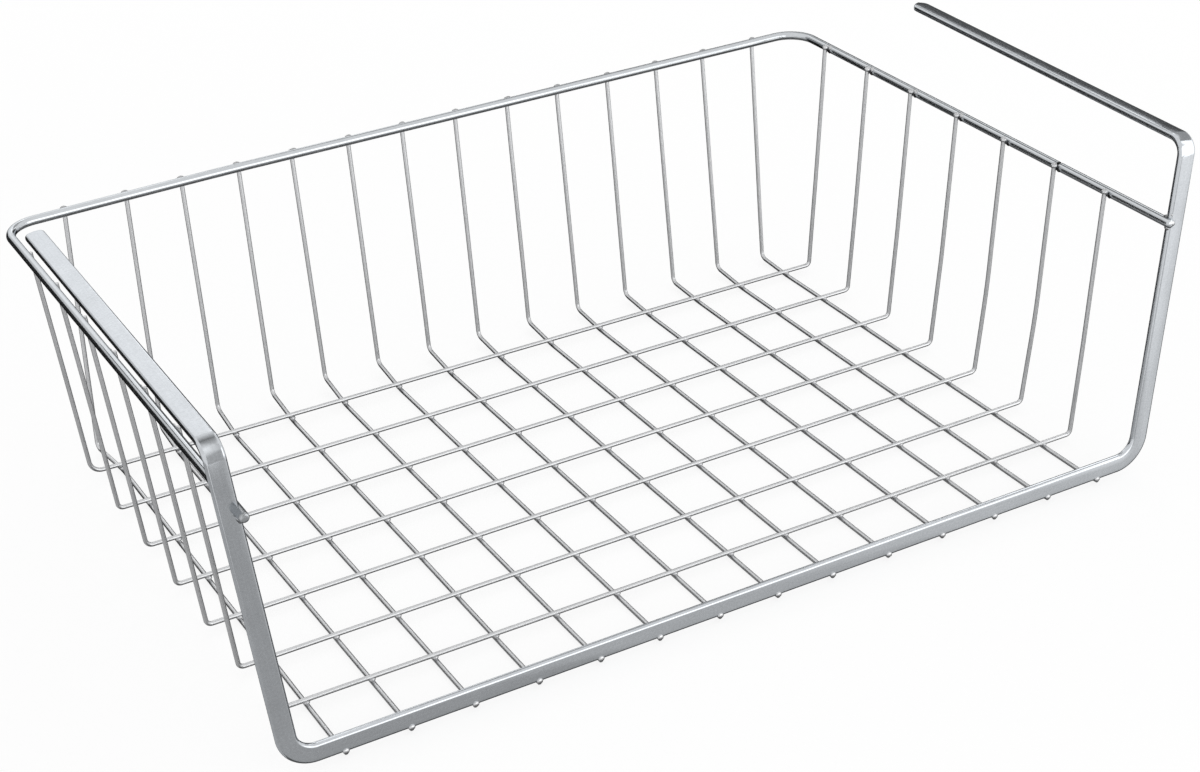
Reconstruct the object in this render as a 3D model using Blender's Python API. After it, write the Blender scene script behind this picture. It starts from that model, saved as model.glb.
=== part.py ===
# Wire basket that hangs under a shelf board. X runs across its front, Y from the front
# towards the wall, and Z up. One flat steel strip makes the frame at the front: arm,
# upright, bottom bar, upright, arm. The arms lie on the shelf board, whose front edge
# comes between them and the rim. Everything is welded, so nothing moves.
# The strip is bent by hand: its left arm is a little lower and longer than its right one.

import math

import bmesh
import bpy
from mathutils import Matrix, Quaternion, Vector

# Stock, in metres. Welded pieces are drawn with a small gap between them.
wire_diameter = 0.0019
rim_diameter = 0.0037
strip_width = 0.0074
strip_thickness = 0.0027
strip_edge_radius = 0.0011
strip_end_radius = 0.0016
weld_gap = 0.0003

# Rim, measured on its centreline, its depth from the frame's front face
rim_width = 0.375
rim_depth = 0.2531
rim_height = 0.1071
rim_bend_radius = 0.0125

# Frame, the reach of its arms from its front face and their gap to the rim below
upright_lean = math.radians(5.18)
foot_bend_radius = 0.0105
arm_bend_radius = 0.006
arm_rise = math.radians(1.04)
left_arm_reach = 0.1744
right_arm_reach = 0.1704
left_slot_height = 0.0215
right_slot_height = 0.0284
notch_overrun = 0.002

# Basket of thin wire
wire_bend_radius = 0.005
wire_end_rise = 0.0019
side_wall_taper = 0.0082
back_wall_taper = 0.0103
long_wire_count = 14
long_wire_side_margin = 0.01305
cross_wire_count = 7
cross_wire_front_margin = 0.0338
cross_wire_back_margin = 0.0212

# Smoothness
strip_bend_steps = 6
wire_bend_steps = 5
edge_steps = 2
wire_bevel_resolution = 2
rim_bevel_resolution = 4
notch_sides = 24
crease_angle = math.radians(50)

# Places that follow from these sizes
wire_radius = wire_diameter / 2
rim_radius = rim_diameter / 2
rim_half_width = rim_width / 2
side_wire_x = rim_half_width - rim_radius - weld_gap - wire_radius
back_wire_y = rim_depth + rim_radius + weld_gap + wire_radius
wire_top_z = rim_height + wire_end_rise
long_wire_z = wire_radius
cross_wire_z = wire_diameter + weld_gap + wire_radius
floor_half_width = side_wire_x - side_wall_taper
floor_depth = back_wire_y - back_wall_taper
overall_depth = back_wire_y + wire_radius


def bent_line(corners, bend_radii, steps):
    # Places and directions along straight runs that are joined by round bends.
    line = [(corners[0], (corners[1] - corners[0]).normalized())]
    for before, corner, after, radius in zip(corners, corners[1:], corners[2:], bend_radii):
        way_in = (corner - before).normalized()
        way_out = (after - corner).normalized()
        turn = way_in.angle(way_out)
        axis = way_in.cross(way_out).normalized()
        start = corner - way_in * radius * math.tan(turn / 2)
        centre = start + axis.cross(way_in) * radius
        for step in range(steps + 1):
            turned = Quaternion(axis, turn * step / steps)
            line.append((centre + turned @ (start - centre), turned @ way_in))
    line.append((corners[-1], (corners[-1] - corners[-2]).normalized()))
    return line


def coated_steel(name, colour, roughness):
    material = bpy.data.materials.new(name)
    material.use_nodes = True
    shader = material.node_tree.nodes["Principled BSDF"]
    shader.inputs["Base Color"].default_value = (*colour, 1)
    shader.inputs["Metallic"].default_value = 1
    shader.inputs["Roughness"].default_value = roughness
    return material


def add_piece(name, data, place):
    piece = bpy.data.objects.new(name, data)
    piece.location = place
    piece.parent = datum
    bpy.context.scene.collection.objects.link(piece)
    return piece


def round_wire(name, corners, bend_radius, diameter, bevel_resolution, material):
    curve = bpy.data.curves.new(name, "CURVE")
    curve.dimensions = "3D"
    curve.bevel_depth = diameter / 2
    curve.bevel_resolution = bevel_resolution
    curve.use_fill_caps = True
    curve.materials.append(material)
    line = bent_line(corners, [bend_radius] * (len(corners) - 2), wire_bend_steps)
    spline = curve.splines.new("POLY")
    spline.points.add(len(line) - 1)
    for point, (place, _) in zip(spline.points, line):
        point.co = (*place, 1)
    return curve


def evenly_spaced(first, last, count):
    return [first + (last - first) * i / (count - 1) for i in range(count)]


# Frame of flat strip
def upright_x(height):
    # The upright's inner edge meets the rim's centreline, where the two are welded.
    at_rim = rim_half_width + strip_width / 2 / math.cos(upright_lean)
    return at_rim + (height - rim_height) * math.tan(upright_lean)


def side_corners(side, slot_height, reach):
    # Foot, shoulder and free end on the strip's middle line, with side -1 left and 1 right.
    bar_z = wire_diameter + weld_gap + strip_width / 2
    arm_z = rim_height + rim_radius + slot_height + strip_thickness / 2
    middle_y = strip_thickness / 2
    foot = Vector((side * upright_x(bar_z), middle_y, bar_z))
    shoulder = Vector((side * upright_x(arm_z), middle_y, arm_z))
    up = (shoulder - foot).normalized()
    arm_way = Vector((0, math.cos(arm_rise), 0)) + up * math.sin(arm_rise)
    return [foot, shoulder, shoulder + arm_way * (reach - middle_y) / arm_way.y]


def end_shape():
    # The strip's free ends are rounded in plan: set-backs from the end, with the width there.
    shape = []
    for step in range(edge_steps + 1):
        angle = math.radians(90) * step / edge_steps
        set_back = strip_end_radius * (1 - math.sin(angle))
        shape.append((set_back, strip_width - 2 * strip_end_radius * (1 - math.cos(angle))))
    return shape


def frame_stations():
    # Place, way along the strip, way across it and width, from one free end to the other.
    left = side_corners(-1, left_slot_height, left_arm_reach)
    right = side_corners(1, right_slot_height, right_arm_reach)
    radii = [arm_bend_radius, foot_bend_radius, foot_bend_radius, arm_bend_radius]
    line = bent_line(left[::-1] + right, radii, strip_bend_steps)
    across = Vector((math.cos(upright_lean), 0, math.sin(upright_lean)))
    stations = []
    before = line[0][1]
    for place, along in line:
        across = before.rotation_difference(along) @ across
        stations.append((place, along, across, strip_width))
        before = along
    place, along, across, _ = stations.pop(0)
    for set_back, width in end_shape():
        stations.insert(0, (place + along * set_back, along, across, width))
    place, along, across, _ = stations.pop()
    for set_back, width in end_shape():
        stations.append((place - along * set_back, along, across, width))
    return stations


def strip_outline(width):
    # Rounded rectangle: the first value runs across the strip, the second out of its face.
    outline = []
    for quarter, (side, face) in enumerate(((1, 1), (-1, 1), (-1, -1), (1, -1))):
        for step in range(edge_steps + 1):
            angle = math.radians(90) * (quarter + step / edge_steps)
            a = side * (width / 2 - strip_edge_radius) + strip_edge_radius * math.cos(angle)
            b = face * (strip_thickness / 2 - strip_edge_radius)
            outline.append((a, b + strip_edge_radius * math.sin(angle)))
    return outline


def frame_mesh(name, material):
    model = bmesh.new()
    rings = []
    for place, along, across, width in frame_stations():
        out = across.cross(along)
        rings.append(
            [model.verts.new(place + across * a + out * b) for a, b in strip_outline(width)]
        )
    for ring, next_ring in zip(rings, rings[1:]):
        for i in range(len(ring)):
            j = (i + 1) % len(ring)
            model.faces.new((ring[i], ring[j], next_ring[j], next_ring[i]))
    model.faces.new(rings[0])
    model.faces.new(rings[-1])
    bmesh.ops.recalc_face_normals(model, faces=model.faces)
    mesh = bpy.data.meshes.new(name)
    model.to_mesh(mesh)
    model.free()
    mesh.materials.append(material)
    mesh.shade_smooth()
    mesh.set_sharp_from_angle(angle=crease_angle)
    return mesh


def cut_rim_notch(frame, side):
    # The rim's end is let into the upright's inner edge.
    length = strip_thickness + 2 * notch_overrun
    radius = rim_radius + weld_gap
    model = bmesh.new()
    bmesh.ops.create_cone(
        model, cap_ends=True, segments=notch_sides, radius1=radius, radius2=radius,
        depth=length, matrix=Matrix.Rotation(math.radians(90), 4, "X"),
    )
    mesh = bpy.data.meshes.new("rim_notch")
    model.to_mesh(mesh)
    model.free()
    place = (side * rim_half_width, strip_thickness / 2, rim_height)
    cutter = add_piece("rim_notch_cutter", mesh, place)
    cutter.hide_render = True
    cutter.display_type = "WIRE"
    cut = frame.modifiers.new("rim_notch", "BOOLEAN")
    cut.operation = "DIFFERENCE"
    cut.object = cutter


def make_frame():
    material = coated_steel("frame_coating", (0.60, 0.61, 0.63), 0.34)
    frame = add_piece("strip_frame", frame_mesh("strip_frame", material), (0, 0, 0))
    for side in (-1, 1):
        cut_rim_notch(frame, side)


# Rim: one thicker wire, open at the front
def make_rim():
    material = coated_steel("rim_coating", (0.62, 0.63, 0.64), 0.28)
    corners = [
        Vector((-rim_half_width, 0, rim_height)),
        Vector((-rim_half_width, rim_depth, rim_height)),
        Vector((rim_half_width, rim_depth, rim_height)),
        Vector((rim_half_width, 0, rim_height)),
    ]
    curve = round_wire(
        "rim_wire", corners, rim_bend_radius, rim_diameter, rim_bevel_resolution, material
    )
    add_piece("rim_wire", curve, (0, 0, 0))


# Cross wires: floor and both side walls, their tops inside the rim
def make_cross_wires():
    material = coated_steel("cross_wire_coating", (0.60, 0.61, 0.62), 0.3)
    corners = [
        Vector((-side_wire_x, 0, wire_top_z)),
        Vector((-floor_half_width, 0, cross_wire_z)),
        Vector((floor_half_width, 0, cross_wire_z)),
        Vector((side_wire_x, 0, wire_top_z)),
    ]
    curve = round_wire(
        "cross_wire", corners, wire_bend_radius, wire_diameter, wire_bevel_resolution, material
    )
    last = floor_depth - cross_wire_back_margin
    for i, y in enumerate(evenly_spaced(cross_wire_front_margin, last, cross_wire_count)):
        add_piece(f"cross_wire_{i + 1:02d}", curve, (0, y, 0))


# Long wires: under the bar and the cross wires, then up outside the rim at the back
def make_long_wires():
    material = coated_steel("long_wire_coating", (0.60, 0.61, 0.62), 0.3)
    corners = [
        Vector((0, 0, long_wire_z)),
        Vector((0, floor_depth, long_wire_z)),
        Vector((0, back_wire_y, wire_top_z)),
    ]
    curve = round_wire(
        "long_wire", corners, wire_bend_radius, wire_diameter, wire_bevel_resolution, material
    )
    last = floor_half_width - long_wire_side_margin
    for i, x in enumerate(evenly_spaced(-last, last, long_wire_count)):
        add_piece(f"long_wire_{i + 1:02d}", curve, (x, 0, 0))


for old in list(bpy.data.objects):
    bpy.data.objects.remove(old, do_unlink=True)

# The pieces are placed from the frame's front face, which lies half the depth before the origin.
datum = bpy.data.objects.new("front_face_datum", None)
datum.location = (0, -overall_depth / 2, 0)
bpy.context.scene.collection.objects.link(datum)

make_frame()
make_rim()
make_cross_wires()
make_long_wires()
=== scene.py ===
import math

import bmesh
import bpy
from mathutils import Euler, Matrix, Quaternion, Vector


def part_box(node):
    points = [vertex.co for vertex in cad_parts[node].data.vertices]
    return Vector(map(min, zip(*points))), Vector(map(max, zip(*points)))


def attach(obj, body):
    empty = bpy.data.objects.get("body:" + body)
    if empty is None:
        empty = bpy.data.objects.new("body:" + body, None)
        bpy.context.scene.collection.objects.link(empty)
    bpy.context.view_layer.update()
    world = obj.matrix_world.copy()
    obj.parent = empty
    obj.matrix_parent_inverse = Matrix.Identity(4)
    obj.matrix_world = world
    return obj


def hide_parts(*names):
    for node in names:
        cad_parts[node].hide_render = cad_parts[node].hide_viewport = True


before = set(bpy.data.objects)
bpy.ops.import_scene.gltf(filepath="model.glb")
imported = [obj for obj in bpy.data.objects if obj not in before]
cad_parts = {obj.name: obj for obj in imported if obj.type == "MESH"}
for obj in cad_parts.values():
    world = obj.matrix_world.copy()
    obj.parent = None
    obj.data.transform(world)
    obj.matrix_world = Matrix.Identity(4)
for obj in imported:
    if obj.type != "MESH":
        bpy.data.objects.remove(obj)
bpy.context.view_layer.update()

# Wire basket that hangs from a shelf board by two flat arms, bright silver on bent steel.
# X runs across the front, Y towards the wall, Z up, in metres.

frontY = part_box("strip_frame")[0].y
longNodes = sorted(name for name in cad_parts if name.startswith("long_wire"))
crossNodes = sorted(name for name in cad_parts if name.startswith("cross_wire"))


# Helpers for node trees
def addNode(tree, kind, sockets=None, **settings):
    node = tree.nodes.new(kind)
    for name, value in settings.items():
        setattr(node, name, value)
    for key, value in (sockets or {}).items():
        if isinstance(value, bpy.types.NodeSocket):
            tree.links.new(value, node.inputs[key])
        else:
            node.inputs[key].default_value = value
    return node


def newTree(name, kind, inputs, outputs):
    tree = bpy.data.node_groups.new(name, kind)
    for inOut, sockets in (("INPUT", inputs), ("OUTPUT", outputs)):
        for label, socketType, value in sockets:
            socket = tree.interface.new_socket(label, in_out=inOut, socket_type=socketType)
            if value is not None:
                socket.default_value = value
    return tree, tree.nodes.new("NodeGroupInput").outputs, tree.nodes.new("NodeGroupOutput").inputs


def mathOf(tree, operation, first, second=0.0, clamp=False):
    node = addNode(tree, "ShaderNodeMath", {0: first, 1: second}, operation=operation)
    node.use_clamp = clamp
    return node.outputs[0]


def centred(tree, noise):
    # Noise lies around a half
    return mathOf(tree, "SUBTRACT", noise, 0.5)


def scaled(tree, vector, factor):
    return addNode(
        tree, "ShaderNodeVectorMath", {0: vector, "Scale": factor}, operation="SCALE"
    ).outputs[0]


def colourMix(tree, factor, first, second):
    # A Mix node's colours are its inputs 6 and 7 and its output 2
    node = addNode(tree, "ShaderNodeMix", {0: factor, 6: first, 7: second}, data_type="RGBA")
    return node.outputs[2]


def named(tree, label, kind):
    return addNode(
        tree, "GeometryNodeInputNamedAttribute", {"Name": label}, data_type=kind
    ).outputs["Attribute"]


def stored(tree, geometry, label, value, kind):
    return addNode(
        tree, "GeometryNodeStoreNamedAttribute",
        {"Geometry": geometry, "Name": label, "Value": value}, data_type=kind, domain="POINT",
    ).outputs["Geometry"]


def finished(tree, geometry, material):
    # What each shape tree ends with
    smooth = addNode(
        tree, "GeometryNodeSetShadeSmooth", {"Geometry": geometry, "Shade Smooth": True}
    ).outputs[0]
    real = addNode(tree, "GeometryNodeRealizeInstances", {0: smooth}).outputs[0]
    return addNode(
        tree, "GeometryNodeSetMaterial", {"Geometry": real, "Material": material}
    ).outputs[0]


# Surface effects that the finishes share
cloudRelief = 2.0  # clouds stand out this much more than flecks
scorchAndShadeRoughness = 0.3  # added where the metal is burnt and where shade is painted dark


def makeGrainGroup():
    tree, given, out = newTree(
        "Silver Grain", "ShaderNodeTree",
        [
            ("Vector", "NodeSocketVector", None),
            ("Colour", "NodeSocketColor", (0.5, 0.5, 0.5, 1)),
            ("Fleck Size", "NodeSocketFloat", 0.0003),
            ("Fleck Contrast", "NodeSocketFloat", 0.2),
            ("Cloud Size", "NodeSocketFloat", 0.01),
            ("Cloud Contrast", "NodeSocketFloat", 0.1),
            ("Roughness", "NodeSocketFloat", 0.25),
            ("Roughness Spread", "NodeSocketFloat", 0.08),
        ],
        [
            ("Colour", "NodeSocketColor", None),
            ("Roughness", "NodeSocketFloat", None),
            ("Height", "NodeSocketFloat", None),
        ],
    )

    def texture(kind, detail, roughness):
        scale = mathOf(tree, "DIVIDE", 1.0, given[f"{kind} Size"])
        return addNode(
            tree, "ShaderNodeTexNoise",
            {
                "Vector": given["Vector"], "Scale": scale, "Detail": detail,
                "Roughness": roughness,
            },
        ).outputs["Fac"]

    fleck, cloud = texture("Fleck", 2.0, 0.6), texture("Cloud", 3.0, 0.55)
    fleckShade = mathOf(tree, "MULTIPLY", centred(tree, fleck), given["Fleck Contrast"])
    cloudShade = mathOf(tree, "MULTIPLY", centred(tree, cloud), given["Cloud Contrast"])
    shade = mathOf(tree, "ADD", mathOf(tree, "ADD", fleckShade, cloudShade), 1.0)
    spread = mathOf(tree, "MULTIPLY", centred(tree, cloud), given["Roughness Spread"])
    roughness = mathOf(tree, "ADD", given["Roughness"], spread, clamp=True)
    relief = mathOf(tree, "ADD", fleck, mathOf(tree, "MULTIPLY", cloud, cloudRelief))
    tree.links.new(scaled(tree, given["Colour"], shade), out["Colour"])
    tree.links.new(roughness, out["Roughness"])
    tree.links.new(relief, out["Height"])
    return tree


def makeStreakGroup():
    # Fine lines that the drawing die leaves along a wire or strip
    tree, given, out = newTree(
        "Drawn Streaks", "ShaderNodeTree",
        [
            ("Vector", "NodeSocketVector", None),
            ("Streak Width", "NodeSocketFloat", 0.0003),
            ("Streak Length", "NodeSocketFloat", 0.02),
        ],
        [("Streak", "NodeSocketFloat", None)],
    )
    wide = mathOf(tree, "DIVIDE", 1.0, given["Streak Width"])
    along = mathOf(tree, "DIVIDE", 1.0, given["Streak Length"])
    stretch = addNode(tree, "ShaderNodeCombineXYZ", {"X": wide, "Y": wide, "Z": along}).outputs[0]
    place = addNode(
        tree, "ShaderNodeVectorMath", {0: given["Vector"], 1: stretch}, operation="MULTIPLY"
    ).outputs[0]
    noise = addNode(
        tree, "ShaderNodeTexNoise", {"Vector": place, "Scale": 1.0, "Detail": 2.0}
    ).outputs["Fac"]
    tree.links.new(noise, out["Streak"])
    return tree


silverGrain = makeGrainGroup()
drawnStreaks = makeStreakGroup()


def silverMaterial(name, finish):
    material = bpy.data.materials.new(name)
    material.use_nodes = True
    tree = material.node_tree
    shader = tree.nodes["Principled BSDF"]
    shader.inputs["Metallic"].default_value = 1.0
    shader.inputs["Specular Tint"].default_value = (*finish["edgeTint"], 1)

    def attribute(label, output):
        return addNode(tree, "ShaderNodeAttribute", attribute_name=label).outputs[output]

    place = addNode(tree, "ShaderNodeTexCoord").outputs["Object"]
    grain = addNode(
        tree, "ShaderNodeGroup",
        {"Vector": place, "Colour": (*finish["colour"], 1), **finish["grain"]},
        node_tree=silverGrain,
    ).outputs
    streak = addNode(
        tree, "ShaderNodeGroup",
        {"Vector": attribute("stockSpace", "Vector"), **finish["streaks"]},
        node_tree=drawnStreaks,
    ).outputs["Streak"]
    lines = centred(tree, streak)
    shade = mathOf(tree, "ADD", mathOf(tree, "MULTIPLY", lines, finish["streakContrast"]), 1.0)
    colour = scaled(tree, grain["Colour"], shade)
    # This darkening is weld burn and also painted shade: in the rim's joint groove, where the rim's
    # left end passes the upright, and in corners by the rim
    scorchAndShade = attribute("scorchAndShade", "Fac")
    burntAndShaded = colourMix(tree, scorchAndShade, colour, (*finish["scorchAndShadeColour"], 1))
    tree.links.new(burntAndShaded, shader.inputs["Base Color"])
    streaky = mathOf(tree, "MULTIPLY", lines, finish["streakRoughness"])
    rubbed = mathOf(tree, "ADD", grain["Roughness"], streaky)
    charredAndShaded = mathOf(tree, "MULTIPLY", scorchAndShade, scorchAndShadeRoughness)
    tree.links.new(mathOf(tree, "ADD", rubbed, charredAndShaded, clamp=True), shader.inputs["Roughness"])
    bump = addNode(
        tree, "ShaderNodeBump",
        {
            "Height": grain["Height"], "Strength": finish["bump"],
            "Distance": finish["bumpDepth"],
        },
    )
    tree.links.new(bump.outputs["Normal"], shader.inputs["Normal"])
    return material


# Shared shapes
def bentLine(corners, bendRadii, steps):
    # Places and directions along straight runs joined by round bends
    line = [(corners[0], (corners[1] - corners[0]).normalized())]
    for before, corner, after, radius in zip(corners, corners[1:], corners[2:], bendRadii):
        wayIn = (corner - before).normalized()
        wayOut = (after - corner).normalized()
        turn = wayIn.angle(wayOut)
        axis = wayIn.cross(wayOut).normalized()
        start = corner - wayIn * radius * math.tan(turn / 2)
        centre = start + axis.cross(wayIn) * radius
        for step in range(steps + 1):
            turned = Quaternion(axis, turn * step / steps)
            line.append((centre + turned @ (start - centre), turned @ wayIn))
    line.append((corners[-1], (corners[-1] - corners[-2]).normalized()))
    return line


shortRun = 4  # in margins


def heldStraight(line, margin):
    # Longer straight runs get a station near each end, so that bends don't shade into them
    held = [line[0]]
    for (before, way), (after, nextWay) in zip(line, line[1:]):
        if (after - before).length > shortRun * margin:
            held += [(before + way * margin, way), (after - way * margin, way)]
        held.append((after, nextWay))
    return held


def transported(line, across):
    # Adds the direction across the stock, carried along without twist
    stations = []
    before = line[0][1]
    for place, along in line:
        across = before.rotation_difference(along) @ across
        stations.append((place, along, across.normalized()))
        before = along
    return stations


def sweptPiece(name, rings, material):
    # rings: (points, stock coordinates, darkening from weld burn and painted shade), each ring with
    # the same number of points
    model = bmesh.new()
    space = model.verts.layers.float_vector.new("stockSpace")
    burnAndShade = model.verts.layers.float.new("scorchAndShade")
    made = []
    for points, coordinates, scorchAndShade in rings:
        ring = []
        for point, coordinate in zip(points, coordinates):
            vertex = model.verts.new(point)
            vertex[space] = coordinate
            vertex[burnAndShade] = scorchAndShade
            ring.append(vertex)
        made.append(ring)
    for ring, nextRing in zip(made, made[1:]):
        for i in range(len(ring)):
            j = (i + 1) % len(ring)
            model.faces.new((ring[i], ring[j], nextRing[j], nextRing[i]))
    model.faces.new(made[0])
    model.faces.new(made[-1])
    bmesh.ops.recalc_face_normals(model, faces=model.faces)
    mesh = bpy.data.meshes.new(name)
    model.to_mesh(mesh)
    model.free()
    mesh.materials.append(material)
    mesh.shade_smooth()
    piece = bpy.data.objects.new(name, mesh)
    bpy.context.scene.collection.objects.link(piece)
    return piece


# Flat strip frame: arm, upright, bar, upright, arm
stripFrame = {
    "width": 0.0074,
    "thickness": 0.0027,
    "edgeRadius": 0.0011,
    "faceCrown": 0.0001,
    "endRadii": (0.0012, 0.0033),  # left, right
    "narrowestEnd": 0.00242,
    "lean": math.radians(5.18),
    "rimHalfWidth": 0.1875,
    "rimHeight": 0.1071,
    "rimRadius": 0.00185,
    "barHeight": 0.0059,
    "footBend": 0.0105,
    "armBend": 0.006,
    "armRise": math.radians(1.04),
    "slotHeights": (0.0215, 0.0284),
    "armReaches": (0.1744, 0.1712),
    "bendSteps": 20,
    "edgeSteps": 6,
    "endSteps": 8,
    "holdAt": 0.005,
    "finish": {
        "colour": (0.583, 0.607, 0.634),
        "edgeTint": (0.88, 0.9, 0.92),
        "scorchAndShadeColour": (0.05, 0.05, 0.05),
        "grain": {
            "Fleck Size": 0.0009, "Fleck Contrast": 0.3, "Cloud Size": 0.012,
            "Cloud Contrast": 0.16, "Roughness": 0.14, "Roughness Spread": 0.05,
        },
        "streaks": {"Streak Width": 0.0004, "Streak Length": 0.03},
        "streakContrast": 0.12,
        "streakRoughness": 0.1,
        "bump": 0.05,
        "bumpDepth": 0.00003,
    },
}


def stripOutline(width, sizes):
    # Rounded rectangle, its faces very slightly crowned: across, then out of the face
    outline = []
    half, edge = sizes["thickness"] / 2, sizes["edgeRadius"]
    for quarter, (side, face) in enumerate(((1, 1), (-1, 1), (-1, -1), (1, -1))):
        for step in range(sizes["edgeSteps"] + 1):
            angle = math.radians(90) * (quarter + step / sizes["edgeSteps"])
            a = side * (width / 2 - edge) + edge * math.cos(angle)
            b = face * (half - edge) + edge * math.sin(angle)
            outline.append((a, b))
        if quarter % 2 == 0:
            outline.append((0.0, face * (half + sizes["faceCrown"])))
    return outline


def sideCorners(side, slotHeight, reach, sizes):
    # Foot, shoulder and free end on the strip's middle line
    def upright(height):
        atRim = sizes["rimHalfWidth"] + sizes["width"] / 2 / math.cos(sizes["lean"])
        return side * (atRim + (height - sizes["rimHeight"]) * math.tan(sizes["lean"]))

    armZ = sizes["rimHeight"] + sizes["rimRadius"] + slotHeight + sizes["thickness"] / 2
    middleY = frontY + sizes["thickness"] / 2
    foot = Vector((upright(sizes["barHeight"]), middleY, sizes["barHeight"]))
    shoulder = Vector((upright(armZ), middleY, armZ))
    up = (shoulder - foot).normalized()
    armWay = Vector((0, math.cos(sizes["armRise"]), 0)) + up * math.sin(sizes["armRise"])
    return [foot, shoulder, shoulder + armWay * (reach - sizes["thickness"] / 2) / armWay.y]


def roundedEnd(station, radius, sizes, way):
    # Narrows the strip towards its free end, so that the end is rounded in plan
    place, along, across = station
    stations = []
    for step in range(sizes["endSteps"] + 1):
        angle = math.radians(90) * step / sizes["endSteps"]
        setBack = radius * (1 - math.sin(angle))
        width = sizes["width"] - 2 * radius * (1 - math.cos(angle))
        width = max(width, sizes["narrowestEnd"])
        stations.append((place + along * way * setBack, along, across, width))
    return stations


def makeStripFrame(sizes):
    left = sideCorners(-1, sizes["slotHeights"][0], sizes["armReaches"][0], sizes)
    right = sideCorners(1, sizes["slotHeights"][1], sizes["armReaches"][1], sizes)
    radii = [sizes["armBend"], sizes["footBend"], sizes["footBend"], sizes["armBend"]]
    line = transported(
        heldStraight(bentLine(left[::-1] + right, radii, sizes["bendSteps"]), sizes["holdAt"]),
        Vector((math.cos(sizes["lean"]), 0, math.sin(sizes["lean"]))),
    )
    stations = roundedEnd(line[0], sizes["endRadii"][0], sizes, 1)[::-1]
    stations += [(*station, sizes["width"]) for station in line[1:-1]]
    stations += roundedEnd(line[-1], sizes["endRadii"][1], sizes, -1)
    rings = []
    run = 0.0
    before = stations[0][0]
    for place, along, across, width in stations:
        run += (place - before).length
        before = place
        out = across.cross(along)
        outline = stripOutline(width, sizes)
        points = [place + across * a + out * b for a, b in outline]
        rings.append((points, [(a, b, run) for a, b in outline], 0.0))
    return sweptPiece("stripFrame", rings, silverMaterial("frameSilver", sizes["finish"]))


stripPiece = makeStripFrame(stripFrame)
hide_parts("strip_frame")
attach(stripPiece, "root")
print("strip frame made")

# Rim: thicker round wire, open at the front, with a butt joint on its right side
rimWire = {
    "halfWidth": 0.1875,
    "depth": 0.2531,
    "height": 0.1071,
    "radius": 0.00185,
    "bend": 0.0125,
    "bendSteps": 24,
    "holdAt": 0.003,
    "sides": 32,
    "endReach": (0.0045, 0.0012),  # how far the left and right ends stand out of the uprights
    "leftEndDrop": 0.0006,
    "leftEndShift": -0.00045,
    "leftEnd": (  # set-back, radius and darkening: painted shade where the rim's end passes behind the upright
        (0, 0.4, 0.2), (0.00005, 0.74, 0.2), (0.0002, 0.86, 0.4), (0.0005, 0.95, 0.45),
        (0.001, 1.0, 0.45), (0.003, 1.0, 0.45), (0.0085, 1.0, 0.45), (0.0105, 1.0, 0.0),
    ),
    "rightEnd": ((0, 0.3), (0.0002, 0.62), (0.0005, 0.85), (0.0009, 0.97), (0.0014, 1.0)),
    "slantFrom": -0.084,  # the back run is bent a little forward towards its left end
    "slant": 0.0033,
    "slantCurve": 1.3,
    "slantZone": 0.01875,  # how far in front of the back run it still shows
    "slantStations": (-0.16, -0.14, -0.12, -0.1, -0.084),
    "jointY": -0.0637,
    "joint": (  # along the wire, radius and darkening: the seam's weld burn, with its groove painted black as shade
        (0.0016, 1.0, 0.0), (0.00085, 1.0, 0.3), (0.0007, 0.98, 1.0), (0.0006, 0.74, 1.0),
        (-0.0006, 0.74, 1.0), (-0.0007, 0.98, 1.0), (-0.00085, 1.0, 0.3), (-0.0016, 1.0, 0.0),
    ),
    "finish": {
        "colour": (0.586, 0.608, 0.629),
        "edgeTint": (0.88, 0.9, 0.92),
        "scorchAndShadeColour": (0.02, 0.02, 0.02),
        "grain": {
            "Fleck Size": 0.0012, "Fleck Contrast": 0.16, "Cloud Size": 0.01,
            "Cloud Contrast": 0.14, "Roughness": 0.15, "Roughness Spread": 0.06,
        },
        "streaks": {"Streak Width": 0.0003, "Streak Length": 0.03},
        "streakContrast": 0.12,
        "streakRoughness": 0.08,
        "bump": 0.1,
        "bumpDepth": 0.00001,
    },
}


def backSlant(x):
    share = max(0.0, (rimWire["slantFrom"] - x) / (rimWire["slantFrom"] + rimWire["halfWidth"]))
    return -rimWire["slant"] * share ** rimWire["slantCurve"]


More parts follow.
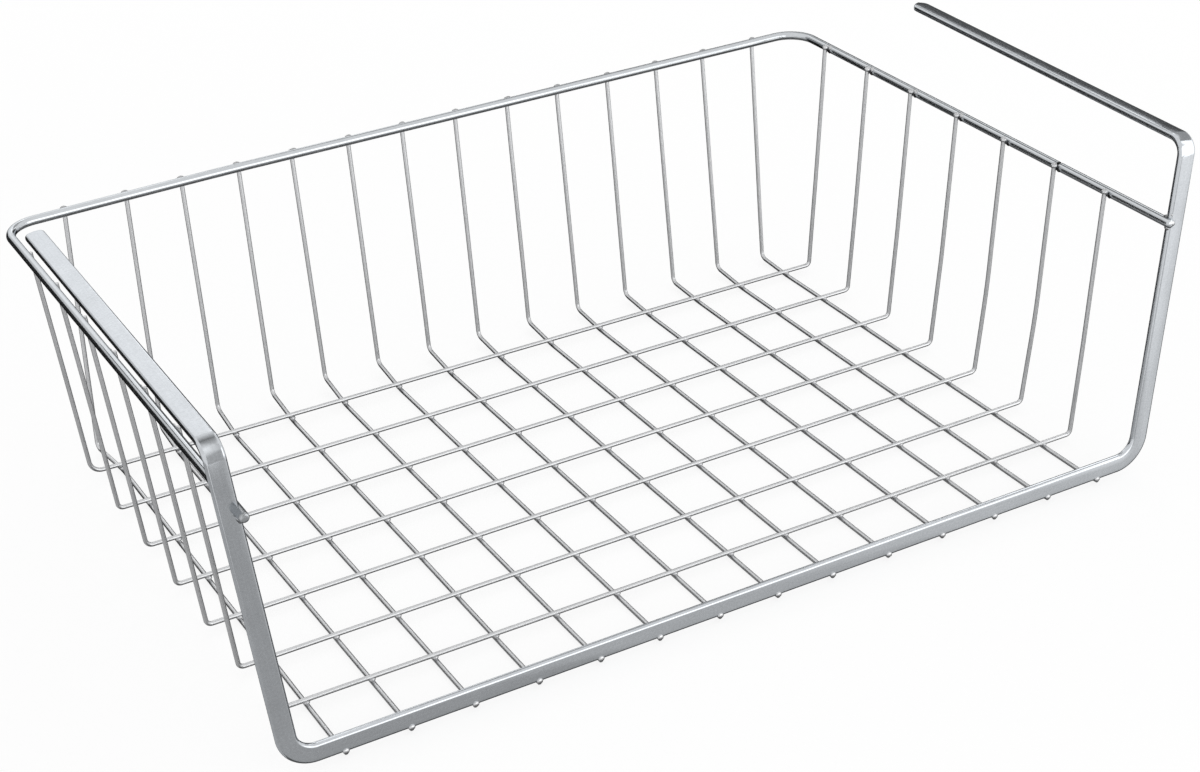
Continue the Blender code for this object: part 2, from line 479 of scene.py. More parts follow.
def makeRim(sizes):
    leftReach, rightReach = sizes["endReach"]
    half, back, height = sizes["halfWidth"], frontY + sizes["depth"], sizes["height"]
    leftEndX, leftEndZ = sizes["leftEndShift"] - half, height - sizes["leftEndDrop"]
    corners = [
        Vector((leftEndX, frontY - leftReach, leftEndZ)),
        Vector((-half, back, height)),
        Vector((half, back, height)),
        Vector((half, frontY - rightReach, height)),
    ]
    bent = bentLine(corners, [sizes["bend"]] * 2, sizes["bendSteps"])
    line = transported(heldStraight(bent, sizes["holdAt"]), Vector((1, 0, 0)))
    first, last = line.pop(0), line.pop()
    line.pop(0)  # the left end has its own stations
    bends = (len(line) - 1) // 2
    _, along, across = line[bends]
    between = [(Vector((x, back, height)), along, across) for x in sizes["slantStations"]]
    rows = []
    for setBack, share, scorchAndShade in sizes["leftEnd"]:
        rows.append((first[0] + first[1] * setBack, first[1], first[2], share, scorchAndShade))
    for place, along, across in line[:bends] + between + line[bends:]:
        if place.y > back - sizes["slantZone"]:
            place = place + Vector((0, backSlant(place.x), 0))
        rows.append((place, along, across, 1.0, 0.0))
    nearEnd = rows.pop()
    for shift, share, scorchAndShade in sizes["joint"]:
        place = Vector((half, sizes["jointY"] + shift, height))
        rows.append((place, last[1], last[2], share, scorchAndShade))
    rows.append(nearEnd)
    for setBack, share in reversed(sizes["rightEnd"]):
        rows.append((last[0] - last[1] * setBack, last[1], last[2], share, 0.0))
    rings = []
    run = 0.0
    before = rows[0][0]
    for place, along, across, share, scorchAndShade in rows:
        run += (place - before).length
        before = place
        up = along.cross(across)
        points, coordinates = [], []
        for side in range(sizes["sides"]):
            angle = math.tau * side / sizes["sides"]
            a, b = math.cos(angle) * sizes["radius"], math.sin(angle) * sizes["radius"]
            points.append(place + (across * a + up * b) * share)
            coordinates.append((a, b, run))
        rings.append((points, coordinates, scorchAndShade))
    return sweptPiece("rimWire", rings, silverMaterial("rimSilver", sizes["finish"]))


rimPiece = makeRim(rimWire)
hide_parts("rim_wire")
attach(rimPiece, "root")
print("rim made")


# Bent wires, made by one tree along the lines that it is given
def makeWireTree():
    tree, given, out = newTree(
        "Bent Wires", "GeometryNodeTree",
        [
            ("Lines", "NodeSocketGeometry", None),
            ("Bend Steps", "NodeSocketInt", 10),
            ("Wire Diameter", "NodeSocketFloat", 0.0019),
            ("Wire Sides", "NodeSocketInt", 16),
            ("Straight Step", "NodeSocketFloat", 0.02),
            ("Bow", "NodeSocketFloat", 0.0002),
            ("Bow Length", "NodeSocketFloat", 0.07),
            ("End Flare", "NodeSocketFloat", 1.1),
            ("End Dome", "NodeSocketFloat", 0.0005),
            ("Material", "NodeSocketMaterial", None),
        ],
        [("Wires", "NodeSocketGeometry", None)],
    )

    lines = addNode(tree, "GeometryNodeMeshToCurve", {"Mesh": given["Lines"]}).outputs[0]
    filleted = addNode(
        tree, "GeometryNodeFilletCurve",
        {
            "Curve": lines, "Count": given["Bend Steps"], "Limit Radius": True,
            "Radius": named(tree, "bendRadius", "FLOAT"),
        },
        mode="POLY",
    ).outputs[0]
    # long straight runs get more points, so that they can bow a little
    number = addNode(tree, "GeometryNodeInputIndex").outputs[0]
    following = addNode(
        tree, "GeometryNodeOffsetPointInCurve", {"Point Index": number, "Offset": 1}
    ).outputs["Point Index"]
    here = addNode(tree, "GeometryNodeInputPosition").outputs[0]
    nextPlace = addNode(
        tree, "GeometryNodeFieldAtIndex", {"Index": following, "Value": here},
        data_type="FLOAT_VECTOR", domain="POINT",
    ).outputs[0]
    gap = addNode(
        tree, "ShaderNodeVectorMath", {0: here, 1: nextPlace}, operation="DISTANCE"
    ).outputs["Value"]
    cuts = mathOf(tree, "FLOOR", mathOf(tree, "DIVIDE", gap, given["Straight Step"]))
    divided = addNode(
        tree, "GeometryNodeSubdivideCurve", {"Curve": filleted, "Cuts": cuts}
    ).outputs[0]
    wireNumber = named(tree, "wireNumber", "FLOAT")
    bowScale = mathOf(tree, "DIVIDE", 1.0, given["Bow Length"])
    shake = addNode(
        tree, "ShaderNodeTexNoise",
        {"Vector": here, "W": wireNumber, "Scale": bowScale, "Detail": 0.0},
        noise_dimensions="4D",
    ).outputs["Color"]
    around = addNode(
        tree, "ShaderNodeVectorMath", {0: shake, 1: (0.5, 0.5, 0.5)}, operation="SUBTRACT"
    ).outputs[0]
    level = addNode(
        tree, "ShaderNodeVectorMath", {0: around, 1: (1, 1, 0)}, operation="MULTIPLY"
    ).outputs[0]
    bowed = addNode(
        tree, "GeometryNodeSetPosition",
        {"Geometry": divided, "Offset": scaled(tree, level, given["Bow"])},
    ).outputs[0]
    length = addNode(tree, "GeometryNodeSplineParameter").outputs["Length"]
    run = mathOf(tree, "ADD", length, wireNumber)
    measured = stored(tree, bowed, "alongStock", run, "FLOAT")
    radius = mathOf(tree, "MULTIPLY", given["Wire Diameter"], 0.5)
    circle = addNode(
        tree, "GeometryNodeCurvePrimitiveCircle",
        {"Resolution": given["Wire Sides"], "Radius": radius},
    ).outputs["Curve"]
    profile = stored(tree, circle, "roundStock", here, "FLOAT_VECTOR")
    swept = addNode(
        tree, "GeometryNodeCurveToMesh",
        {"Curve": measured, "Profile Curve": profile, "Fill Caps": True},
    ).outputs["Mesh"]
    # faces with more sides than a quad are the cut ends, pressed out into a low dome
    faceSides = addNode(tree, "GeometryNodeInputMeshFaceNeighbors").outputs["Vertex Count"]
    top = addNode(
        tree, "FunctionNodeCompare", {"A": faceSides, "B": 4},
        data_type="INT", operation="GREATER_THAN",
    ).outputs["Result"]
    # each step: its share of the dome's height, and how much of its width the end keeps
    domeSteps = ((0.2, given["End Flare"]), (0.25, 1.0), (0.25, 0.86), (0.2, 0.74), (0.1, 0.5))
    domed = swept
    for share, keep in domeSteps:
        rise = mathOf(tree, "MULTIPLY", given["End Dome"], share)
        pulled = addNode(
            tree, "GeometryNodeExtrudeMesh",
            {"Mesh": domed, "Selection": top, "Individual": True, "Offset Scale": rise},
            mode="FACES",
        ).outputs
        top = pulled["Top"]
        domed = addNode(
            tree, "GeometryNodeScaleElements",
            {"Geometry": pulled["Mesh"], "Selection": top, "Scale": keep}, domain="FACE",
        ).outputs[0]
    split = addNode(
        tree, "ShaderNodeSeparateXYZ", {0: named(tree, "roundStock", "FLOAT_VECTOR")}
    ).outputs
    stock = addNode(
        tree, "ShaderNodeCombineXYZ",
        {"X": split[0], "Y": split[1], "Z": named(tree, "alongStock", "FLOAT")},
    ).outputs[0]
    mapped = stored(tree, domed, "stockSpace", stock, "FLOAT_VECTOR")
    tree.links.new(finished(tree, mapped, given["Material"]), out["Wires"])
    return tree


def treePiece(name, tree, points, edges, layers, values):
    # Runs a tree on points or lines and keeps the result as a plain mesh
    mesh = bpy.data.meshes.new(name)
    mesh.from_pydata(points, edges, [])
    for label, (kind, field, numbers) in layers.items():
        mesh.attributes.new(label, kind, "POINT").data.foreach_set(field, numbers)
    piece = bpy.data.objects.new(name, mesh)
    bpy.context.scene.collection.objects.link(piece)
    modifier = piece.modifiers.new(tree.name, "NODES")
    modifier.node_group = tree
    for item in tree.interface.items_tree:
        if item.item_type == "SOCKET" and item.in_out == "INPUT" and item.name in values:
            modifier[item.identifier] = values[item.name]
    graph = bpy.context.evaluated_depsgraph_get()
    made = bpy.data.meshes.new_from_object(
        piece.evaluated_get(graph), preserve_all_data_layers=True, depsgraph=graph
    )
    piece.modifiers.remove(modifier)
    piece.data = made
    made.name = name
    for spare in ("alongStock", "roundStock", *layers):
        if spare in made.attributes:
            made.attributes.remove(made.attributes[spare])
    return piece


numberStep = 1.7  # between neighbours, so that each wire bows in its own way


def wirePiece(name, wires, sizes):
    # wires: one list of (corner, bend radius) for each wire
    points, edges, radii, numbers = [], [], [], []
    for number, wire in enumerate(wires):
        for step, (corner, radius) in enumerate(wire):
            if step:
                edges.append((len(points) - 1, len(points)))
            points.append(corner)
            radii.append(radius)
            numbers.append(numberStep * number)
    layers = {
        "bendRadius": ("FLOAT", "value", radii), "wireNumber": ("FLOAT", "value", numbers),
    }
    values = {**wireInputs, "End Flare": sizes["endFlare"], "End Dome": sizes["endDome"]}
    return treePiece(name, bentWires, points, edges, layers, values)


bentWires = makeWireTree()

wireStock = {
    "diameter": 0.0018,  # drawn 0.1 mm thinner than the solid wire, as it looks in soft light
    "finish": {
        "colour": (0.60, 0.606, 0.615),
        "edgeTint": (0.9, 0.9, 0.9),
        "scorchAndShadeColour": (0.03, 0.03, 0.03),
        "grain": {
            "Fleck Size": 0.0012, "Fleck Contrast": 0.16, "Cloud Size": 0.02,
            "Cloud Contrast": 0.2, "Roughness": 0.28, "Roughness Spread": 0.06,
        },
        "streaks": {"Streak Width": 0.0003, "Streak Length": 0.03},
        "streakContrast": 0.15,
        "streakRoughness": 0.08,
        "bump": 0.1,
        "bumpDepth": 0.00001,
    },
}
wireSilver = silverMaterial("wireSilver", wireStock["finish"])
wireInputs = {
    "Bend Steps": 10, "Wire Diameter": wireStock["diameter"], "Wire Sides": 16,
    "Straight Step": 0.012, "Bow": 0.0004, "Bow Length": 0.07, "Material": wireSilver,
}


def fromFront(x, y, z):
    # Places are given from the frame's front face
    return x, frontY + y, z


# Long wires: from under the bar along the floor, then up outside the rim at the back
longWires = {
    "floorHeight": 0.0009,
    "pressedHeight": 0.0021,  # the front ends are welded up into the bar
    "pressedRun": 0.009,
    "endSetBack": 0.0004,
    "floorBack": 0.2459,
    "top": (0.2562, 0.1077),
    "frontBend": 0.004,
    "backBend": 0.0034,
    "endFlare": 1.05,
    "endDome": 0.0004,
    "kinkAt": 0.2252,  # the wires rise behind the last cross wire, to a back bend off the floor
    "kinkBend": 0.03,
    # sideways set of each wire in millimetres: front and back of its floor run, top
    "sets": (
        (0.2, 0, 1.7), (0.4, -0.6, 2.6), (0, -0.3, 1.3), (-0.7, 0.2, 1.1), (-0.6, -0.4, -0.2),
        (-0.1, 0.2, 0.3), (-0.3, 0, 0.3), (-0.4, 0, 0.4), (-0.7, -0.2, 0.4), (-0.2, -0.1, -0.1),
        (0.5, 0.8, 0.1), (1.1, 1.4, 0.1), (-0.3, 0.6, -0.5), (-0.5, 0.1, 1.0),
    ),
    # each back bend in millimetres: its sideways set and its rise
    "backBends": (
        (-3.6, 1.9), (-0.6, 2.6), (0, 3.4), (-0.1, 3.4), (-0.4, 3.5), (0, 3.5), (-0.4, 2.9),
        (-0.8, 2.6), (-0.6, 2.4), (-0.2, 1.8), (0.1, 2.1), (0.7, 1.6), (0.1, 2.1), (0.1, 1.1),
    ),
    # sideways set of each front end, where its weld metal shows at the bar
    "endSets": (0.3, -0.2, -0.7, -0.7, -1.0, -1.6, -1.2, -1.0, -1.8, -1.4, -1.3, -1.5, -0.6, -1.0),
}


def longWireLines(sizes):
    wires = []
    topY, topZ = sizes["top"]
    wallSlope = (topY - sizes["floorBack"]) / (topZ - sizes["floorHeight"])
    kinkShare = (sizes["kinkAt"] - sizes["pressedRun"]) / (sizes["floorBack"] - sizes["pressedRun"])
    places = zip(longNodes, sizes["sets"], sizes["backBends"], sizes["endSets"])
    for name, shifts, (bendSet, bendRise), endSet in places:
        x = (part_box(name)[0].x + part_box(name)[1].x) / 2
        front, back, top = (x + shift / 1000 for shift in shifts)
        kinkX = front + (back - front) * kinkShare
        bendX, rise = x + bendSet / 1000, bendRise / 1000
        backBend = fromFront(
            bendX, sizes["floorBack"] + wallSlope * rise, sizes["floorHeight"] + rise
        )
        wires.append([
            (fromFront(x + endSet / 1000, sizes["endSetBack"], sizes["pressedHeight"]), 0),
            (fromFront(front, sizes["pressedRun"], sizes["floorHeight"]), sizes["frontBend"]),
            (fromFront(kinkX, sizes["kinkAt"], sizes["floorHeight"]), sizes["kinkBend"]),
            (backBend, sizes["backBend"]),
            (fromFront(top, topY + backSlant(top), topZ), 0),
        ])
    return wires


longLines = longWireLines(longWires)
longPiece = wirePiece("longWires", longLines, longWires)
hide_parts(*longNodes)
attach(longPiece, "root")
print("long wires made")

# Cross wires: floor and both side walls, their tops inside the rim
crossWires = {
    "floorHeight": 0.0031,
    "floorHalf": 0.1762,
    "topHalf": 0.1844,
    "topHeights": (0.1049, 0.109),  # the left ends are cut shorter
    "leftBends": (4.5, 2.3, 2.3, 2.3, 3.0, 2.3, 5.2),  # bend radius of each wire, in millimetres
    "rightBend": 0.0022,
    # how far each wire bows out of the straight on the right wall, in millimetres
    "rightBows": (0.3, 1.4, 1.3, 0.7, 0.5, 0.2, 0.2),
    "bowAt": 0.38,  # share of the wall's height
    "bowRadius": 0.4,
    "endFlare": 1.06,
    "endDome": 0.0006,
    # front to back set of each wire in millimetres: left top, left bend, right bend, right top
    "sets": (
        (0, 0.3, 0.5, 0.1), (-1.3, -0.5, 0.6, -1.0), (-0.7, -0.8, 0.8, -0.6),
        (-1.2, -1.3, 0.5, -0.7), (-0.4, -0.8, 0.5, -0.2), (0.6, 0.4, 0.6, 0.2),
        (1.0, 0.6, 0.7, 1.2),
    ),
    # left bends in millimetres: how far they are set in, and their rise
    "leftSets": ((0, 0), (0.6, -0.1), (0.5, 0), (0.4, 0.3), (0.2, 0.2), (0.4, 0.1), (0.1, 0.9)),
    "rightBendHeight": 0.0027,
}


def crossWireLines(sizes):
    wires = []
    for number, (name, shifts) in enumerate(zip(crossNodes, sizes["sets"])):
        y = (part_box(name)[0].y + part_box(name)[1].y) / 2
        leftRadius, bow = sizes["leftBends"][number] / 1000, sizes["rightBows"][number] / 1000
        leftTop, leftBend, rightBend, rightTop = (y + shift / 1000 for shift in shifts)
        setIn, rise = (value / 1000 for value in sizes["leftSets"][number])
        corner = Vector((sizes["floorHalf"], rightBend, sizes["rightBendHeight"]))
        end = Vector((sizes["topHalf"], rightTop, sizes["topHeights"][1]))
        middle = corner.lerp(end, sizes["bowAt"]) + Vector((bow, 0, 0))
        wires.append([
            ((-sizes["topHalf"], leftTop, sizes["topHeights"][0]), 0),
            ((setIn - sizes["floorHalf"], leftBend, sizes["floorHeight"] + rise), leftRadius),
            (tuple(corner), sizes["rightBend"]),
            (tuple(middle), sizes["bowRadius"]),
            (tuple(end), 0),
        ])
    return wires


crossLines = crossWireLines(crossWires)
crossPiece = wirePiece("crossWires", crossLines, crossWires)
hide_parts(*crossNodes)
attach(crossPiece, "root")
print("cross wires made")


# Weld beads, made by one tree on a list of places
def makeBeadTree():
    tree, given, out = newTree(
        "Weld Beads", "GeometryNodeTree",
        [
            ("Places", "NodeSocketGeometry", None),
            ("Detail", "NodeSocketInt", 2),
            ("Lump Height", "NodeSocketFloat", 0.0002),
            ("Lump Size", "NodeSocketFloat", 0.0012),
            ("Seed", "NodeSocketFloat", 4.0),
            ("Material", "NodeSocketMaterial", None),
        ],
        [("Beads", "NodeSocketGeometry", None)],
    )

    ball = addNode(
        tree, "GeometryNodeMeshIcoSphere", {"Radius": 1.0, "Subdivisions": given["Detail"]}
    ).outputs["Mesh"]
    beads = addNode(
        tree, "GeometryNodeInstanceOnPoints",
        {
            "Points": given["Places"], "Instance": ball,
            "Rotation": named(tree, "beadTurn", "FLOAT_VECTOR"),
            "Scale": named(tree, "beadSize", "FLOAT_VECTOR"),
        },
    ).outputs[0]
    real = addNode(tree, "GeometryNodeRealizeInstances", {0: beads}).outputs[0]
    lumpScale = mathOf(tree, "DIVIDE", 1.0, given["Lump Size"])
    lumps = addNode(
        tree, "ShaderNodeTexNoise", {"W": given["Seed"], "Scale": lumpScale, "Detail": 1.0},
        noise_dimensions="4D",
    ).outputs["Fac"]
    height = mathOf(tree, "MULTIPLY", centred(tree, lumps), given["Lump Height"])
    normal = addNode(tree, "GeometryNodeInputNormal").outputs[0]
    lumpy = addNode(
        tree, "GeometryNodeSetPosition",
        {"Geometry": real, "Offset": scaled(tree, normal, height)},
    ).outputs[0]
    # each bead's darkening: weld burn, and painted shade for the dark corner beads
    marked = stored(tree, lumpy, "scorchAndShade", named(tree, "beadBurnAndShade", "FLOAT"), "FLOAT")
    tree.links.new(finished(tree, marked, given["Material"]), out["Beads"])
    return tree


weldBeads = {
    # each kind: half sizes in millimetres (across, front to back and up) and how dark it is, from
    # weld burn and painted shade
    "kinds": {
        "crossing": ((1.3, 1.3, 0.9), 0.08),
        "bar": ((1.25, 1.3, 0.75), 0.08),
        "frontNub": ((1.3, 0.65, 1.2), 0.0),
        "backRim": ((1.1, 0.7, 1.0), 0.1),
        "backTop": ((1.5, 0.95, 0.9), 0.3),
        "leftRim": ((0.55, 1.0, 0.9), 0.08),
        "rightTop": ((1.35, 1.35, 1.15), 0.0),
        "rightSmear": ((1.1, 1.7, 1.3), 0.1),
        # painted shade: a black bead in the corner under the rim beside each right wall wire,
        # standing in for contact shade
        "rightCornerShade": ((0.6, 1.1, 0.8), 1.0),
    },
    "crossingHeight": 0.00205,
    "barPlace": (0.0014, 0.0026),
    "nubPlace": (0.0, 0.0028),
    # sideways set of each long wire's weld metal on top of the rim, in millimetres
    "backTopSets": (1.4, 2.0, 1.0, 0.3, 0.5, 0.5, 0.3, 0.4, 0.8, 0.1, 0.1, -0.4, -0.4, 0.8),
    "backTopPlace": (0.2554, 0.1079),
    "leftRimDrop": 0.0012,
    "leftMeetDrop": 0.0024,  # below the rim's centre, where the left wires touch it
    "rightTopHeight": 0.1084,
    "smearFrom": 3,  # the further wires on the right have weld metal spread over the rim
    "smearShift": (-0.0011, -0.0007, 0.0009),  # from the rim's centre
    "cornerShift": (-0.0016, -0.0012, -0.0006),
    # at the rim's ends, in millimetres and degrees: place from the front face, half sizes,
    # turn and darkening from weld burn and painted shade
    "rimEnds": (
        ((-188.1, 0.9, 106.9), (1.25, 3.2, 1.6), (0, 0, 0), 0.15),
        ((-188.8, -1.6, 105.3), (1.1, 1.0, 0.8), (0, 30, 0), 0.0),
        ((-188.6, -1.9, 107.3), (0.6, 0.6, 0.4), (0, 30, 0), 0.0),
        # painted shadow: a dark bead below and left of the left rim end
        ((-188.3, -0.7, 103.6), (0.8, 0.7, 0.7), (0, 20, 0), 0.8),
        # painted shade: a dark bead in the corner above the right rim end
        ((187.4, 2.6, 109.0), (0.6, 1.6, 0.7), (-38, 0, 0), 0.6),
        ((187.4, 1.3, 105.0), (0.7, 1.3, 1.1), (0, 0, 0), 0.1),
        ((188.2, -0.5, 107.2), (1.3, 0.9, 1.3), (0, 0, 0), 0.05),
        ((188.2, 0.0, 110.4), (0.45, 0.4, 0.5), (0, 0, 0), 0.0),
    ),
    "lumpHeight": 0.00025,
    "lumpSize": 0.0012,
    "lumpSeed": 4.0,
    "detail": 2,
}


def heightOn(start, end, z):
    # The point at one height on a straight run
    return Vector(start).lerp(Vector(end), (z - start[2]) / (end[2] - start[2]))


def xAt(line, y):
    # A long wire's place across, on its floor run
    start, end = line[1][0], line[2][0]
    return start[0] + (end[0] - start[0]) * (y - start[1]) / (end[1] - start[1])


def yAt(line, x):
    start, end = line[1][0], line[2][0]
    return start[1] + (end[1] - start[1]) * (x - start[0]) / (end[0] - start[0])


def weldPlaces(sizes):
    # Each bead: place, half sizes in millimetres, turn in degrees, how dark it is from weld burn
    # and painted shade
    beads = []

    def add(kind, place):
        half, burnAndShade = sizes["kinds"][kind]
        beads.append((place, half, (0, 0, 0), burnAndShade))

    rimZ, rimHalf, rimRadius = rimWire["height"], rimWire["halfWidth"], rimWire["radius"]
    for number, (longLine, topSet) in enumerate(zip(longLines, sizes["backTopSets"])):
        endX = longLine[0][0][0]
        nodeX = (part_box(longNodes[number])[0].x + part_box(longNodes[number])[1].x) / 2
        for crossLine in crossLines:
            y = yAt(crossLine, xAt(longLine, crossLine[1][0][1]))
            add("crossing", (xAt(longLine, y), y, sizes["crossingHeight"]))
        add("bar", fromFront(endX, *sizes["barPlace"]))
        add("frontNub", fromFront(endX, *sizes["nubPlace"]))
        atRim = heightOn(longLine[-2][0], longLine[-1][0], rimZ)
        slant = backSlant(atRim.x)
        add("backRim", (atRim.x, frontY + rimWire["depth"] + rimRadius + slant, rimZ))
        topY, topZ = sizes["backTopPlace"]
        add("backTop", fromFront(nodeX + topSet / 1000, topY + slant, topZ))
    for number, line in enumerate(crossLines):
        left = heightOn(line[0][0], line[1][0], rimZ - sizes["leftMeetDrop"])
        add("leftRim", (-rimHalf + rimRadius, left.y, rimZ - sizes["leftRimDrop"]))
        right = heightOn(line[-1][0], line[-2][0], rimZ)
        add("rightTop", (line[-1][0][0], line[-1][0][1], sizes["rightTopHeight"]))
        rimCentre = Vector((rimHalf, right.y, rimZ))
        add("rightCornerShade", rimCentre + Vector(sizes["cornerShift"]))
        if number >= sizes["smearFrom"]:
            add("rightSmear", rimCentre + Vector(sizes["smearShift"]))
    for place, half, turn, burnAndShade in sizes["rimEnds"]:
        beads.append((fromFront(*(value / 1000 for value in place)), half, turn, burnAndShade))
    return beads


def makeBeads(sizes):
    beads = weldPlaces(sizes)
    halves = [value / 1000 for _, half, _, _ in beads for value in half]
    turns = [math.radians(value) for _, _, turn, _ in beads for value in turn]
    layers = {
        "beadSize": ("FLOAT_VECTOR", "vector", halves),
        "beadTurn": ("FLOAT_VECTOR", "vector", turns),
        "beadBurnAndShade": ("FLOAT", "value", [burnAndShade for _, _, _, burnAndShade in beads]),
    }
    values = {
        "Detail": sizes["detail"], "Lump Height": sizes["lumpHeight"],
        "Lump Size": sizes["lumpSize"], "Seed": sizes["lumpSeed"], "Material": wireSilver,
    }
    places = [tuple(bead[0]) for bead in beads]
    return treePiece("weldBeads", makeBeadTree(), places, [], layers, values)


beadPiece = makeBeads(weldBeads)
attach(beadPiece, "root")
print("weld beads made")

# Studio
studio = {
    "floorSide": 8.0,
    "floorColour": (0.86, 0.86, 0.87),
    # the camera sees a dim floor that glows, nearly white but with the object's shadow
    "floorShown": 0.3,
    "floorGlow": 0.8,
    "worldFill": 0.55,  # how much the world lights things
    "white": 1.0,  # how bright it is when seen
    # lamps: place, target, size and power
    "lamps": {
        "backSoftbox": ((1.0, 1.35, 1.25), (0, 0, 0.05), (1.3, 0.9), 3.0),
        "middleSoftbox": ((0.12, 1.35, 0.98), (0, 0, 0.05), (0.8, 0.8), 0.45),
        "frontSoftbox": ((0.6, -1.6, 0.38), (0, 0, 0.1), (1.9, 1.3), 7.5),
    },
    # tables and flags are seen by reflections alone, the tables through the floor
    "tableHeight": -0.35,
    # tables: left, front, right and back edge, and how much light they send
    "tables": {
        "darkTable": (-0.28, -0.42, 1.2, 0.62, 0.12),
        "darkBackTable": (-1.3, 0.62, 1.9, 1.25, 0.015),
        "leftTable": (-1.2, -0.42, -0.28, 0.62, 0.52),
        "greyTable": (-0.42, -1.0, 0.15, -0.42, 0.47),
        "nearTable": (-1.2, -0.66, -0.42, -0.42, 0.47),
        "farTable": (0.05, -1.6, 0.62, -1.1, 0.62),
        "brightCard": (0.62, -1.5, 1.6, -0.8, 1.15),
        "lowCard": (0.62, -0.67, 1.0, -0.42, 0.87),
        "lightTable": (0.15, -1.1, 0.38, -0.42, 0.62),
        "palestTable": (0.38, -1.1, 0.62, -0.42, 0.75),
    },
    # flags: how much light they send, as one value or at each corner, and their corners
    "flags": {
        "leftFlag": (
            0.02, (-2.4, 1.25, -0.35), (-0.3, 1.25, -0.35), (-0.3, 1.25, 0.36), (-2.4, 1.25, 0.86),
        ),
        "leftUpperFlag": (
            0.78, (-2.6, 1.3, 0.0), (-0.42, 1.3, 0.0), (-0.42, 1.3, 1.1), (-2.6, 1.3, 1.5),
        ),
        "middleFlag": (
            0.35, (-0.3, 1.25, -0.35), (0.55, 1.25, -0.35), (0.55, 1.25, 0.16), (-0.3, 1.25, 0.16),
        ),
        "rightFlag": (
            0.1, (0.55, 1.25, -0.35), (2.2, 1.25, -0.35), (2.2, 1.25, 1.1), (0.55, 1.25, 0.61),
        ),
        "ceilingFlag": (
            0.5, (0.17, 0.35, 0.75), (0.8, 0.52, 0.75), (0.8, 1.3, 0.75), (0.17, 1.0, 0.75),
        ),
        "leftShoulderDark": (
            (1.0, 1.0, 0.2, 0.17), (-0.205, -0.053, 0.225), (-0.157, -0.053, 0.225),
            (-0.157, -0.119, 0.246), (-0.205, -0.119, 0.246),
        ),
        "leftShoulderLight": (
            (0.32, 0.34, 0.75, 1.45), (-0.205, -0.119, 0.246), (-0.157, -0.119, 0.246),
            (-0.157, -0.186, 0.235), (-0.201, -0.188, 0.199),
        ),
        "leftShoulderFade": (
            (1.45, 0.75, 0.53, 0.53), (-0.201, -0.188, 0.199), (-0.157, -0.186, 0.235),
            (-0.151, -0.207, 0.164), (-0.198, -0.244, 0.149),
        ),
        "leftShoulderGrey": (
            0.53, (-0.198, -0.244, 0.149), (-0.151, -0.207, 0.164),
            (-0.143, -0.232, 0.077), (-0.193, -0.232, 0.077),
        ),
        "rightShoulderGrey": (
            0.42, (0.244, -0.051, 0.177), (0.314, -0.051, 0.177),
            (0.314, -0.157, 0.213), (0.244, -0.157, 0.213),
        ),
        "rightShoulderLight": (
            1.9, (0.244, -0.157, 0.213), (0.314, -0.157, 0.213),
            (0.314, -0.208, 0.097), (0.244, -0.208, 0.097),
        ),
    },
}


def quadObject(name, corners, material):
    mesh = bpy.data.meshes.new(name)
    mesh.from_pydata(corners, [], [(0, 1, 2, 3)])
    mesh.materials.append(material)
    quad = bpy.data.objects.new(name, mesh)
    bpy.context.scene.collection.objects.link(quad)
    return quad


def shownRays(tree):
    # Camera, glossy and transmission rays see the white background
    seen = addNode(tree, "ShaderNodeLightPath").outputs
    clear = mathOf(tree, "MAXIMUM", seen["Is Glossy Ray"], seen["Is Transmission Ray"])
    return mathOf(tree, "MAXIMUM", seen["Is Camera Ray"], clear)


def emptyMaterial(name):
    material = bpy.data.materials.new(name)
    material.use_nodes = True
    tree = material.node_tree
    tree.nodes.remove(tree.nodes["Principled BSDF"])
    return material, tree, tree.nodes["Material Output"].inputs["Surface"]


def emission(tree, strength):
    return addNode(
        tree, "ShaderNodeEmission", {"Color": (1, 1, 1, 1), "Strength": strength}
    ).outputs[0]


def rectangle(left, front, right, back, height):
    return (
        (left, front, height), (right, front, height), (right, back, height), (left, back, height)
    )


def makeFloor(sizes):
    side = sizes["floorSide"] / 2
    shown = (sizes["floorShown"],) * 3
    material, tree, surface = emptyMaterial("paleFloor")
    plain = addNode(tree, "ShaderNodeBsdfDiffuse", {"Color": (*sizes["floorColour"], 1)}).outputs[0]
    dim = addNode(tree, "ShaderNodeBsdfDiffuse", {"Color": (*shown, 1)}).outputs[0]
    glow = emission(tree, sizes["floorGlow"])
    bright = addNode(tree, "ShaderNodeAddShader", {0: dim, 1: glow}).outputs[0]
    mixed = addNode(
        tree, "ShaderNodeMixShader", {0: shownRays(tree), 1: plain, 2: bright}
    ).outputs[0]
    tree.links.new(mixed, surface)
    floor = quadObject("studioFloor", rectangle(-side, -side, side, side, 0), material)
    floor.visible_glossy = False  # reflections see the white world and the flags instead


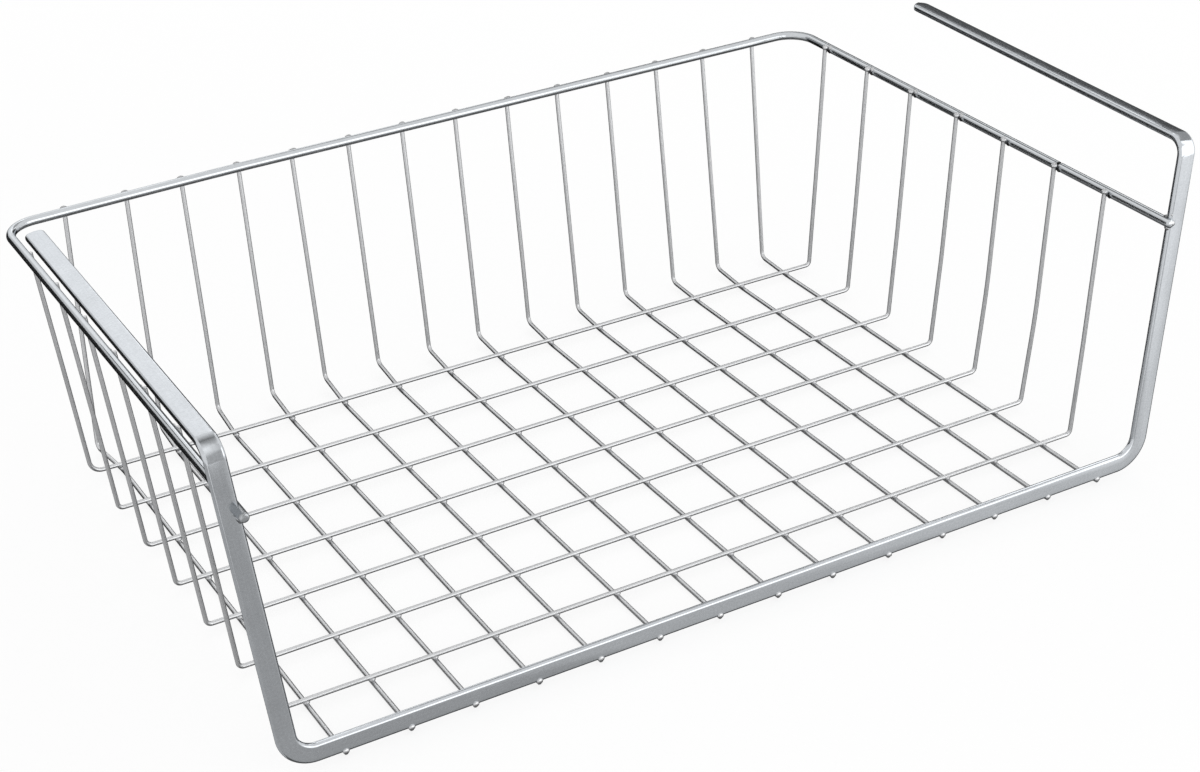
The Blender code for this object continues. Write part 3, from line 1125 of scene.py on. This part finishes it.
def makeFlag(name, strength, corners):
    material, tree, surface = emptyMaterial(name)
    shade = addNode(tree, "ShaderNodeAttribute", attribute_name="flagGlow").outputs["Fac"]
    tree.links.new(emission(tree, shade), surface)
    flag = quadObject(name, corners, material)
    atCorners = strength if isinstance(strength, tuple) else (strength,) * len(corners)
    flag.data.attributes.new("flagGlow", "FLOAT", "POINT").data.foreach_set("value", atCorners)
    flag.visible_camera = False
    flag.visible_diffuse = False
    flag.visible_transmission = False
    flag.visible_shadow = False


def makeWorld(sizes):
    world = bpy.data.worlds.new("studioWorld")
    bpy.context.scene.world = world
    world.use_nodes = True
    tree = world.node_tree
    span = mathOf(tree, "MULTIPLY", shownRays(tree), sizes["white"] - sizes["worldFill"])
    background = tree.nodes["Background"]
    background.inputs["Color"].default_value = (1, 1, 1, 1)
    tree.links.new(mathOf(tree, "ADD", span, sizes["worldFill"]), background.inputs["Strength"])


def addLamp(name, place, target, size, power):
    data = bpy.data.lights.new(name, "AREA")
    data.shape = "RECTANGLE"
    data.size, data.size_y = size
    data.energy = power
    lamp = bpy.data.objects.new(name, data)
    bpy.context.scene.collection.objects.link(lamp)
    way = Vector(target) - Vector(place)
    lamp.location = place
    lamp.rotation_euler = way.to_track_quat("-Z", "Y").to_euler()
    lamp.visible_camera = False


makeFloor(studio)
makeWorld(studio)
for flagName, (*edges, flagStrength) in studio["tables"].items():
    makeFlag(flagName, flagStrength, rectangle(*edges, studio["tableHeight"]))
for flagName, (flagStrength, *flagCorners) in studio["flags"].items():
    makeFlag(flagName, flagStrength, flagCorners)
for lampName, lampValues in studio["lamps"].items():
    addLamp(lampName, *lampValues)
print("studio made")

# Camera at the photograph's viewing angle
photoCamera = {
    "place": (-0.374395, -0.718003, 0.477863),
    "turn": (1.025486, 0.034292, -0.522746),
    "lens": 68.7687,
    "sensorWidth": 36.0,
    "shift": (-0.02178, 0.08368),
}
cameraData = bpy.data.cameras.new("photoCamera")
cameraData.sensor_fit = "HORIZONTAL"
cameraData.sensor_width = photoCamera["sensorWidth"]
cameraData.lens = photoCamera["lens"]
cameraData.shift_x, cameraData.shift_y = photoCamera["shift"]
cameraData.clip_start = 0.01
camera = bpy.data.objects.new("photoCamera", cameraData)
camera.location = photoCamera["place"]
camera.rotation_euler = Euler(photoCamera["turn"])
bpy.context.scene.collection.objects.link(camera)
bpy.context.scene.camera = camera
bpy.context.scene.view_settings.view_transform = "Standard"
